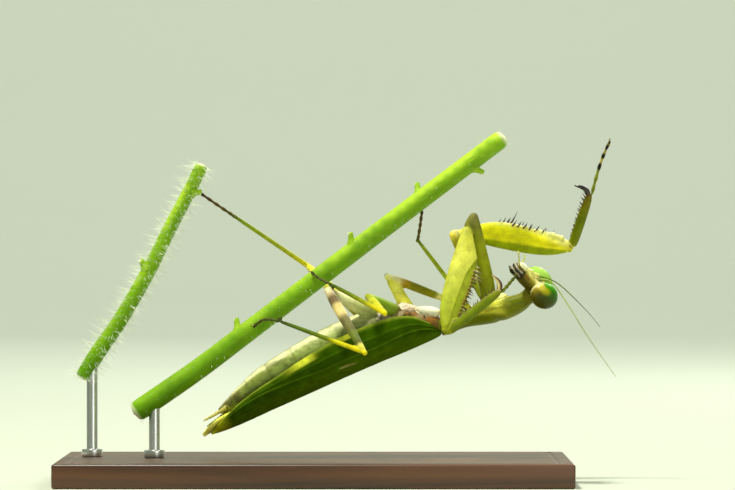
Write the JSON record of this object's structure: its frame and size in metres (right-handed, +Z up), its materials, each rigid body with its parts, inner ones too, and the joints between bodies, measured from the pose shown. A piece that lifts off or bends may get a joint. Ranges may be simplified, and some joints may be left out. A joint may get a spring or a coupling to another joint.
{
  "type": "praying mantis model",
  "caption": "Life-size praying mantis that hangs back downwards under a cut length of plant stem, forelegs raised to the mouth, on a plain display stand.",
  "frame": {"origin": "centre of the underside of the display base", "axes": "+Z up, +X from the mantis's tail to its head, +Y from its left side to its right"},
  "size_m": [0.0912, 0.048, 0.0583],
  "materials": {
    "body_green": "waxy olive-green cuticle",
    "foreleg_yellow": "waxy yellow-green cuticle",
    "walking_leg": "banded cream, brown and olive cuticle",
    "belly_cream": "cream cuticle with brown mottling",
    "wing_green": "leathery dark-green wing cover with fine veins",
    "hindwing": "thin amber wing",
    "eye": "smooth green and amber compound eye",
    "feeler": "brown thread-like feeler",
    "stem_green": "fresh green plant stem with fine white hairs",
    "stand_wood": "dark stained hardwood, satin",
    "stand_steel": "brushed steel rod"
  },
  "bodies": {
    "root": {"abdomen": "belly_cream", "antenna_left": "feeler", "antenna_right": "feeler", "cercus_left": "walking_leg", "cercus_right": "walking_leg", "eye_left": "eye", "eye_right": "eye", "fore_coxa_left": "body_green", "fore_coxa_right": "body_green", "fore_femur_left": "foreleg_yellow", "fore_femur_right": "foreleg_yellow", "fore_tarsus_left": "body_green", "fore_tarsus_right": "body_green", "fore_tibia_left": "body_green", "fore_tibia_right": "body_green", "fore_trochanter_left": "body_green", "fore_trochanter_right": "body_green", "head": "body_green", "hind_coxa_left": "walking_leg", "hind_coxa_right": "walking_leg", "hind_femur_left": "walking_leg", "hind_femur_right": "walking_leg", "hind_tarsus_left": "walking_leg", "hind_tarsus_right": "walking_leg", "hind_tibia_left": "walking_leg", "hind_tibia_right": "walking_leg", "hindwing_left": "hindwing", "hindwing_right": "hindwing", "mesothorax": "belly_cream", "metathorax": "belly_cream", "mid_coxa_left": "walking_leg", "mid_coxa_right": "walking_leg", "mid_femur_left": "walking_leg", "mid_femur_right": "walking_leg", "mid_tarsus_left": "walking_leg", "mid_tarsus_right": "walking_leg", "mid_tibia_left": "walking_leg", "mid_tibia_right": "walking_leg", "neck": "body_green", "palp_left": "body_green", "palp_right": "body_green", "perch_branch": "stem_green", "perch_stem": "stem_green", "prothorax": "body_green", "stand_base": "stand_wood", "stand_rod_branch": "stand_steel", "stand_rod_stem": "stand_steel", "tegmen_left": "wing_green", "tegmen_right": "wing_green"}
  },
  "joints": []
}
